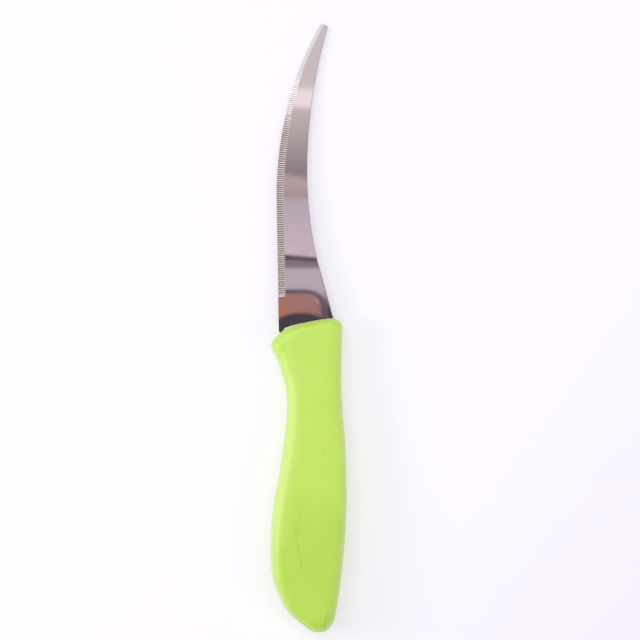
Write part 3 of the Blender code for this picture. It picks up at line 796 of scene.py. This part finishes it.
class Nodes:
    """Builds a material's node tree in short calls."""

    def __init__(self, name):
        self.material = bpy.data.materials.new(name)
        self.material.use_nodes = True
        self.tree = self.material.node_tree
        self.shader = self.tree.nodes["Principled BSDF"]

    def add(self, kind, values=None, **settings):
        node = self.tree.nodes.new(kind)
        for key, value in settings.items():
            setattr(node, key, value)
        for key, value in (values or {}).items():
            self.give(node.inputs[key], value)
        return node

    def give(self, socket, value):
        if isinstance(value, bpy.types.NodeSocket):
            self.tree.links.new(value, socket)
        else:
            socket.default_value = value

    def maths(self, operation, first, second=0.0, third=0.0):
        node = self.add("ShaderNodeMath", {0: first, 1: second, 2: third}, operation=operation)
        return node.outputs[0]

    def place(self):
        return self.add("ShaderNodeTexCoord").outputs["Object"]

    def stretched(self, scale):
        return self.add("ShaderNodeMapping", {"Vector": self.place(), "Scale": scale}).outputs[0]

    def noise(self, scale, detail=2.0, vector=None, roughness=0.5):
        return self.add(
            "ShaderNodeTexNoise",
            {"Vector": vector or self.place(), "Scale": scale, "Detail": detail, "Roughness": roughness},
        ).outputs["Fac"]

    def between(self, factor, low, high, from_low=0.0, from_high=1.0):
        return self.add(
            "ShaderNodeMapRange", {0: factor, 1: from_low, 2: from_high, 3: low, 4: high}
        ).outputs[0]

    def mix(self, factor, first, second):
        """Mixes two colours. The node's sockets for colours are inputs 6 and 7 and output 2."""
        node = self.add("ShaderNodeMix", data_type="RGBA")
        self.give(node.inputs[0], factor)
        for socket, colour in ((node.inputs[6], first), (node.inputs[7], second)):
            self.give(socket, colour if isinstance(colour, bpy.types.NodeSocket) else (*colour, 1))
        return node.outputs[2]

    def bump(self, height, distance, strength=1.0, under=None):
        values = {"Height": height, "Distance": distance, "Strength": strength}
        if under:
            values["Normal"] = under
        return self.add("ShaderNodeBump", values).outputs[0]

    def vectors(self, operation, first, second=(0, 0, 0), output=0):
        node = self.add("ShaderNodeVectorMath", {0: first, 1: second}, operation=operation)
        return node.outputs[output]

    def flat_place(self):
        return self.vectors("MULTIPLY", self.place(), (1, 1, 0))

    def near_segment(self, start, end, reach):
        """1 on the line from start to end in plan, fading to 0 at a reach from it."""
        start, end = Vector((*start, 0)), Vector((*end, 0))
        span = end - start
        offset = self.vectors("SUBTRACT", self.flat_place(), start)
        along = self.vectors("DOT_PRODUCT", offset, span, "Value")
        share = self.maths("DIVIDE", along, span.length_squared)
        share = self.add("ShaderNodeClamp", {0: share}).outputs[0]
        foot = self.add("ShaderNodeVectorMath", {0: span, "Scale": share}, operation="SCALE").outputs[0]
        gap = self.vectors("DISTANCE", offset, foot, "Value")
        return self.between(gap, 1.0, 0.0, 0.0, reach)

    def from_edge_centre(self):
        """The distance from the edge's centre, which is EDGE_RADIUS all along the cutting edge. Past the
        arc the edge runs straight on, so the distance is measured square to it there."""
        outward = Vector((-math.cos(EDGE_LEAN), -math.sin(EDGE_LEAN), 0))
        offset = self.vectors("SUBTRACT", self.flat_place(), Vector((*EDGE_CENTRE, 0)))
        round_part = self.vectors("LENGTH", offset, output="Value")
        straight = self.vectors("DOT_PRODUCT", offset, outward, "Value")
        y = self.add("ShaderNodeSeparateXYZ", {0: offset}).outputs["Y"]
        past_arc = self.maths("LESS_THAN", y, -EDGE_RADIUS * math.sin(EDGE_LEAN))
        change = self.maths("SUBTRACT", straight, round_part)
        return self.maths("MULTIPLY_ADD", past_arc, change, round_part)

    def near_line(self, points, reach):
        """1 on the line through several points in plan, fading to 0 at a reach from it."""
        nearest = 0.0
        for start, end in zip(points, points[1:]):
            nearest = self.maths("MAXIMUM", self.near_segment(start, end, reach), nearest)
        return nearest

    def marks(self, segments):
        """The strongest of several thin marks, each given by its ends, reach and strength."""
        strongest = 0.0
        for start, end, reach, strength in segments:
            mark = self.maths("MULTIPLY", self.near_segment(start, end, reach), strength)
            strongest = self.maths("MAXIMUM", mark, strongest)
        return strongest


def steel():
    nodes = Nodes("polished_steel")
    rolled = nodes.noise(scale=1.0, detail=3.0, vector=nodes.stretched(ROLLED_SCALE))
    haze = nodes.noise(HAZE_SCALE, detail=3.0)
    from_centre = nodes.from_edge_centre()
    worn = nodes.between(from_centre, 0.0, 1.0, EDGE_RADIUS - WORN_EDGE, EDGE_RADIUS - WORN_EDGE / 2)
    scuffs = nodes.marks(STEEL_SCUFFS)
    colour = nodes.mix(nodes.maths("MULTIPLY", worn, WORN_COVER), nodes.mix(haze, *STEEL_TONES), WORN_TONE)
    roughness = nodes.between(haze, *STEEL_ROUGHNESS, *HAZE_RANGE)
    roughness = nodes.maths("MULTIPLY_ADD", worn, WORN_ROUGHNESS, roughness)
    roughness = nodes.maths("MULTIPLY_ADD", scuffs, SCUFF_ROUGHNESS, roughness)
    nodes.give(nodes.shader.inputs["Base Color"], colour)
    nodes.give(nodes.shader.inputs["Roughness"], roughness)
    nodes.shader.inputs["Metallic"].default_value = 1.0
    wavy = nodes.bump(nodes.noise(WAVE_SCALE, detail=1.0), WAVE_DEPTH)
    nodes.give(nodes.shader.inputs["Normal"], nodes.bump(rolled, ROLLED_DEPTH, under=wavy))
    return nodes.material


def lime_rubber():
    nodes = Nodes("lime_soft_touch")
    cloud = nodes.noise(CLOUD_SCALE, detail=3.0)
    blotches = nodes.noise(BLOTCH_SCALE, vector=nodes.stretched(BLOTCH_STRETCH))
    smudge = nodes.noise(SMUDGE_SCALE, detail=4.0, roughness=0.6)
    grain = nodes.noise(GRAIN_SCALE)
    y = nodes.add("ShaderNodeSeparateXYZ", {0: nodes.place()}).outputs["Y"]
    # Painted shade: the rubber darker towards the butt, where its faces turn away from the light
    butt_shade = nodes.between(y, BUTT_SHADE_COVER, 0.0, BUTT_SHADE_FROM - BUTT_SHADE_FADE / 2, BUTT_SHADE_FROM + BUTT_SHADE_FADE / 2)
    # Painted highlight: the belly side paler along a line, unevenly, where the light's soft reflection lies
    uneven = nodes.between(cloud, *PAINTED_SHEEN_COVER, *CLOUD_SHEEN_RANGE)
    painted_sheen = nodes.maths("MULTIPLY", nodes.near_line(PAINTED_SHEEN_LINE, PAINTED_SHEEN_REACH), uneven)
    marks = nodes.marks(GRIP_MARKS)
    colour = nodes.mix(nodes.between(cloud, 0.0, 1.0, *CLOUD_RANGE), *LIME_TONES)
    colour = nodes.mix(nodes.between(blotches, 0.0, BLOTCH_COVER, *BLOTCH_RANGE), colour, BLOTCH_TONE)
    colour = nodes.mix(nodes.between(smudge, 0.0, SMUDGE_COVER, *SMUDGE_RANGE), colour, SMUDGE_TONE)
    # painted shade towards the butt
    colour = nodes.mix(butt_shade, colour, BUTT_SHADE_TONE)
    # painted highlight along the belly side
    colour = nodes.mix(painted_sheen, colour, PAINTED_SHEEN_TONE)
    colour = nodes.mix(nodes.maths("MULTIPLY", marks, MARK_COVER), colour, MARK_TONE)
    # painted highlight along the lip of rubber at the rim
    colour = nodes.mix(nodes.marks(LIP_HIGHLIGHT), colour, LIP_HIGHLIGHT_TONE)
    nodes.give(nodes.shader.inputs["Base Color"], colour)
    for socket, value in RUBBER_GLOSS.items():
        nodes.shader.inputs[socket].default_value = value
    pointiness = nodes.add("ShaderNodeNewGeometry").outputs["Pointiness"]
    worn = nodes.between(pointiness, 0.0, 1.0, *WORN_CORNERS)
    roughness = nodes.between(smudge, *RUBBER_ROUGHNESS, *SMUDGE_GLOSS_RANGE)
    roughness = nodes.maths("MULTIPLY_ADD", worn, -POLISHED_BY_WEAR, roughness)
    nodes.give(nodes.shader.inputs["Roughness"], roughness)
    scratched = nodes.bump(nodes.maths("SUBTRACT", 1.0, marks), MARK_DEPTH, strength=0.6)
    nodes.give(nodes.shader.inputs["Normal"], nodes.bump(grain, GRAIN_DEPTH, strength=0.5, under=scratched))
    return nodes.material


def core_plastic():
    nodes = Nodes("core_plastic")
    cloud = nodes.noise(CORE_CLOUD_SCALE, detail=3.0)
    grain = nodes.noise(CORE_GRAIN_SCALE)
    nodes.give(nodes.shader.inputs["Base Color"], nodes.mix(cloud, *CORE_TONES))
    nodes.give(nodes.shader.inputs["Roughness"], nodes.between(cloud, *CORE_ROUGHNESS))
    nodes.give(nodes.shader.inputs["Normal"], nodes.bump(grain, CORE_GRAIN_DEPTH, strength=0.4))
    return nodes.material


def floor_material():
    """A white surface that glows a little by itself, so that the knife's shadow stays faint."""
    nodes = Nodes("white_surface")
    cloud = nodes.noise(FLOOR_CLOUD_SCALE)
    x, y, _ = nodes.add("ShaderNodeSeparateXYZ", {0: nodes.place()}).outputs
    # Painted shade: the floor darker towards +x and -y
    away = nodes.between(nodes.maths("SUBTRACT", x, y), 0.0, 1.0, *FLOOR_FADE)
    colour = nodes.mix(away, nodes.mix(cloud, *FLOOR_TONES), FLOOR_SHADE_TONE)
    nodes.give(nodes.shader.inputs["Base Color"], colour)
    nodes.shader.inputs["Roughness"].default_value = FLOOR_ROUGHNESS
    nodes.shader.inputs["Specular IOR Level"].default_value = 0.0
    nodes.shader.inputs["Emission Color"].default_value = (*FLOOR_GLOW, 1)
    nodes.shader.inputs["Emission Strength"].default_value = 1.0
    return nodes.material


def room_colours(nodes):
    """The painting on the room card: bands from the tip to the heel, and over them the brown patch."""
    x, y, _ = nodes.add("ShaderNodeSeparateXYZ", {0: nodes.place()}).outputs
    across = nodes.maths("MULTIPLY", x, x)

    def banded(colour, bands):
        for place, softness, slant, bow, tone in bands:
            level = y
            if slant:
                level = nodes.maths("ADD", level, nodes.maths("MULTIPLY", x, slant))
            if bow:
                level = nodes.maths("ADD", level, nodes.maths("MULTIPLY", across, bow))
            share = nodes.between(level, 1.0, 0.0, place - softness / 2, place + softness / 2)
            colour = nodes.mix(share, colour, TONES[tone])
        return colour

    def inside(level, place):
        return nodes.between(level, 1.0, 0.0, place - PATCH_SOFTNESS / 2, place + PATCH_SOFTNESS / 2)

    leaning = nodes.maths("MULTIPLY_ADD", y, PATCH_LEAN, nodes.maths("SUBTRACT", x, PATCH_CORNER.x))
    right = nodes.maths("MAXIMUM", leaning, 0.0)
    up = nodes.maths("MAXIMUM", nodes.maths("SUBTRACT", y, PATCH_CORNER.y), 0.0)
    past_corner = nodes.add("ShaderNodeCombineXYZ", {"X": right, "Y": up}).outputs[0]
    level = nodes.maths("SUBTRACT", nodes.vectors("LENGTH", past_corner, output="Value"), PATCH_RADIUS)
    rust = nodes.between(x, 0.0, 1.0, RUST_X - RUST_SOFTNESS / 2, RUST_X + RUST_SOFTNESS / 2)
    patch = nodes.mix(rust, TONES["copper"], TONES["rust"])
    patch = nodes.mix(nodes.near_segment(*EMBER), patch, TONES["ember"])
    patch = nodes.mix(nodes.near_segment(*GLINT), patch, TONES["glint"])
    patch = banded(patch, PATCH_BANDS)
    colour = banded(TONES[FIRST_TONE], ROOM_BANDS)
    colour = nodes.mix(inside(level, PATCH_RIM[1]), colour, TONES["plum"])
    level = nodes.maths("ADD", level, nodes.between(x, 0.0, RIM_GAIN, *RIM_GAIN_X))
    return nodes.mix(inside(level, PATCH_RIM[0]), colour, patch)


def glowing(name, colour=None):
    """A material that only glows; without a colour, the room that the blade mirrors."""
    nodes = Nodes(name)
    glow = nodes.add("ShaderNodeEmission")
    nodes.give(glow.inputs["Color"], (*colour, 1) if colour else room_colours(nodes))
    nodes.tree.links.new(glow.outputs[0], nodes.tree.nodes["Material Output"].inputs[0])
    nodes.tree.nodes.remove(nodes.shader)
    return nodes.material


def only_mirrored(name, corners, material):
    """A card that only reflections see."""
    bm = bmesh.new()
    bm.faces.new([bm.verts.new((*place, 0)) for place in corners])
    card = mesh_object(name, bm)
    card.data.materials.append(material)
    card.visible_camera = False
    card.visible_diffuse = False
    card.visible_shadow = False
    card.visible_transmission = False
    return card


def room_card():
    """The room that the steel mirrors. Its own coordinates are the blade's, so that what is painted at a
    place is mirrored there to the camera."""
    card = only_mirrored("room_card", ROOM_CORNERS, glowing("mirrored_room"))
    spread = ROOM_HEIGHT / CAMERA_DISTANCE
    centre = to_rest() @ PHOTO_CENTRE
    aside = ROOM_HEIGHT * math.tan(-2 * REST_TILT)
    card.scale = (1 + spread, 1 + spread, 1)
    card.location = (-centre.x * spread, aside - centre.y * spread, ROOM_HEIGHT)


def floor_card():
    """The bright floor beside the handle, as a card just over it."""
    (left, near), (right, far), height = FLOOR_CARD
    corners = [(left, near), (right, near), (right, far), (left, far)]
    card = only_mirrored("floor_card", corners, glowing("mirrored_floor", FLOOR_CARD_GLOW))
    card.location.z = height


def stand(thing, azimuth, elevation, distance):
    """Places a lamp or a card in a direction from the knife, and turns it to the knife."""
    a, e = math.radians(azimuth), math.radians(elevation)
    thing.location = distance * Vector((math.cos(a) * math.cos(e), math.sin(a) * math.cos(e), math.sin(e)))
    thing.rotation_euler = thing.location.to_track_quat("Z", "Y").to_euler()


def make_lights():
    """The lamps, which reflections don't see, and the cards, which only reflections see."""
    for name, (azimuth, elevation, size, watts) in LAMPS.items():
        light = bpy.data.lights.new(name, "AREA")
        light.shape = "RECTANGLE"
        light.size = light.size_y = size
        light.energy = watts
        lamp = bpy.data.objects.new(name, light)
        bpy.context.scene.collection.objects.link(lamp)
        lamp.visible_camera = False
        lamp.visible_glossy = False
        stand(lamp, azimuth, elevation, LIGHT_DISTANCE)
    for name, (azimuth, elevation, size, glow) in MIRRORED_CARDS.items():
        half = size / 2
        corners = [(-half, -half), (half, -half), (half, half), (-half, half)]
        card = only_mirrored(name, corners, glowing(name, glow))
        stand(card, azimuth, elevation, MIRRORED_DISTANCE)


def make_world():
    world = bpy.data.worlds.new("studio")
    bpy.context.scene.world = world
    world.use_nodes = True
    tree = world.node_tree
    path = tree.nodes.new("ShaderNodeLightPath")
    colour = None
    for kind, tone in (("Is Glossy Ray", WORLD_MIRRORED), ("Is Camera Ray", WORLD_SEEN)):
        mix = tree.nodes.new("ShaderNodeMix")
        mix.data_type = "RGBA"
        tree.links.new(path.outputs[kind], mix.inputs[0])
        mix.inputs[6].default_value = (*WORLD_LIGHT, 1)
        mix.inputs[7].default_value = (*tone, 1)
        if colour:
            tree.links.new(colour, mix.inputs[6])
        colour = mix.outputs[2]
    tree.links.new(colour, tree.nodes["Background"].inputs["Color"])


def make_stage():
    bm = bmesh.new()
    bmesh.ops.create_grid(bm, x_segments=FLOOR_SQUARES, y_segments=FLOOR_SQUARES, size=FLOOR_SIZE)
    floor = mesh_object("floor", bm)
    floor.data.materials.append(floor_material())
    make_world()
    make_lights()
    room_card()
    floor_card()


def make_camera():
    camera = bpy.data.objects.new("camera", bpy.data.cameras.new("camera"))
    bpy.context.scene.collection.objects.link(camera)
    camera.data.sensor_width = SENSOR * 1000
    camera.data.lens = SENSOR * 1000 * CAMERA_DISTANCE / PHOTO_WIDTH
    camera.data.clip_end = VIEW_DEPTH
    centre = to_rest() @ PHOTO_CENTRE + CAMERA_NUDGE
    camera.location = centre + Vector((0, 0, CAMERA_DISTANCE))
    bpy.context.scene.camera = camera


make_camera()
make_stage()

blade = make_blade()
grip = make_grip()
for piece in (blade, grip):
    piece.data.transform(to_rest())
blade.data.materials.append(steel())
grip.data.materials.append(lime_rubber())
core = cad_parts["handle_core"]
core.data.materials.clear()
core.data.materials.append(core_plastic())

for piece, node, slot in ((blade, "blade", "blade_steel"), (grip, "handle_grip", "grip_rubber")):
    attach(piece, "root")
    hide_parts(node)

bpy.context.scene.view_settings.view_transform = "Standard"
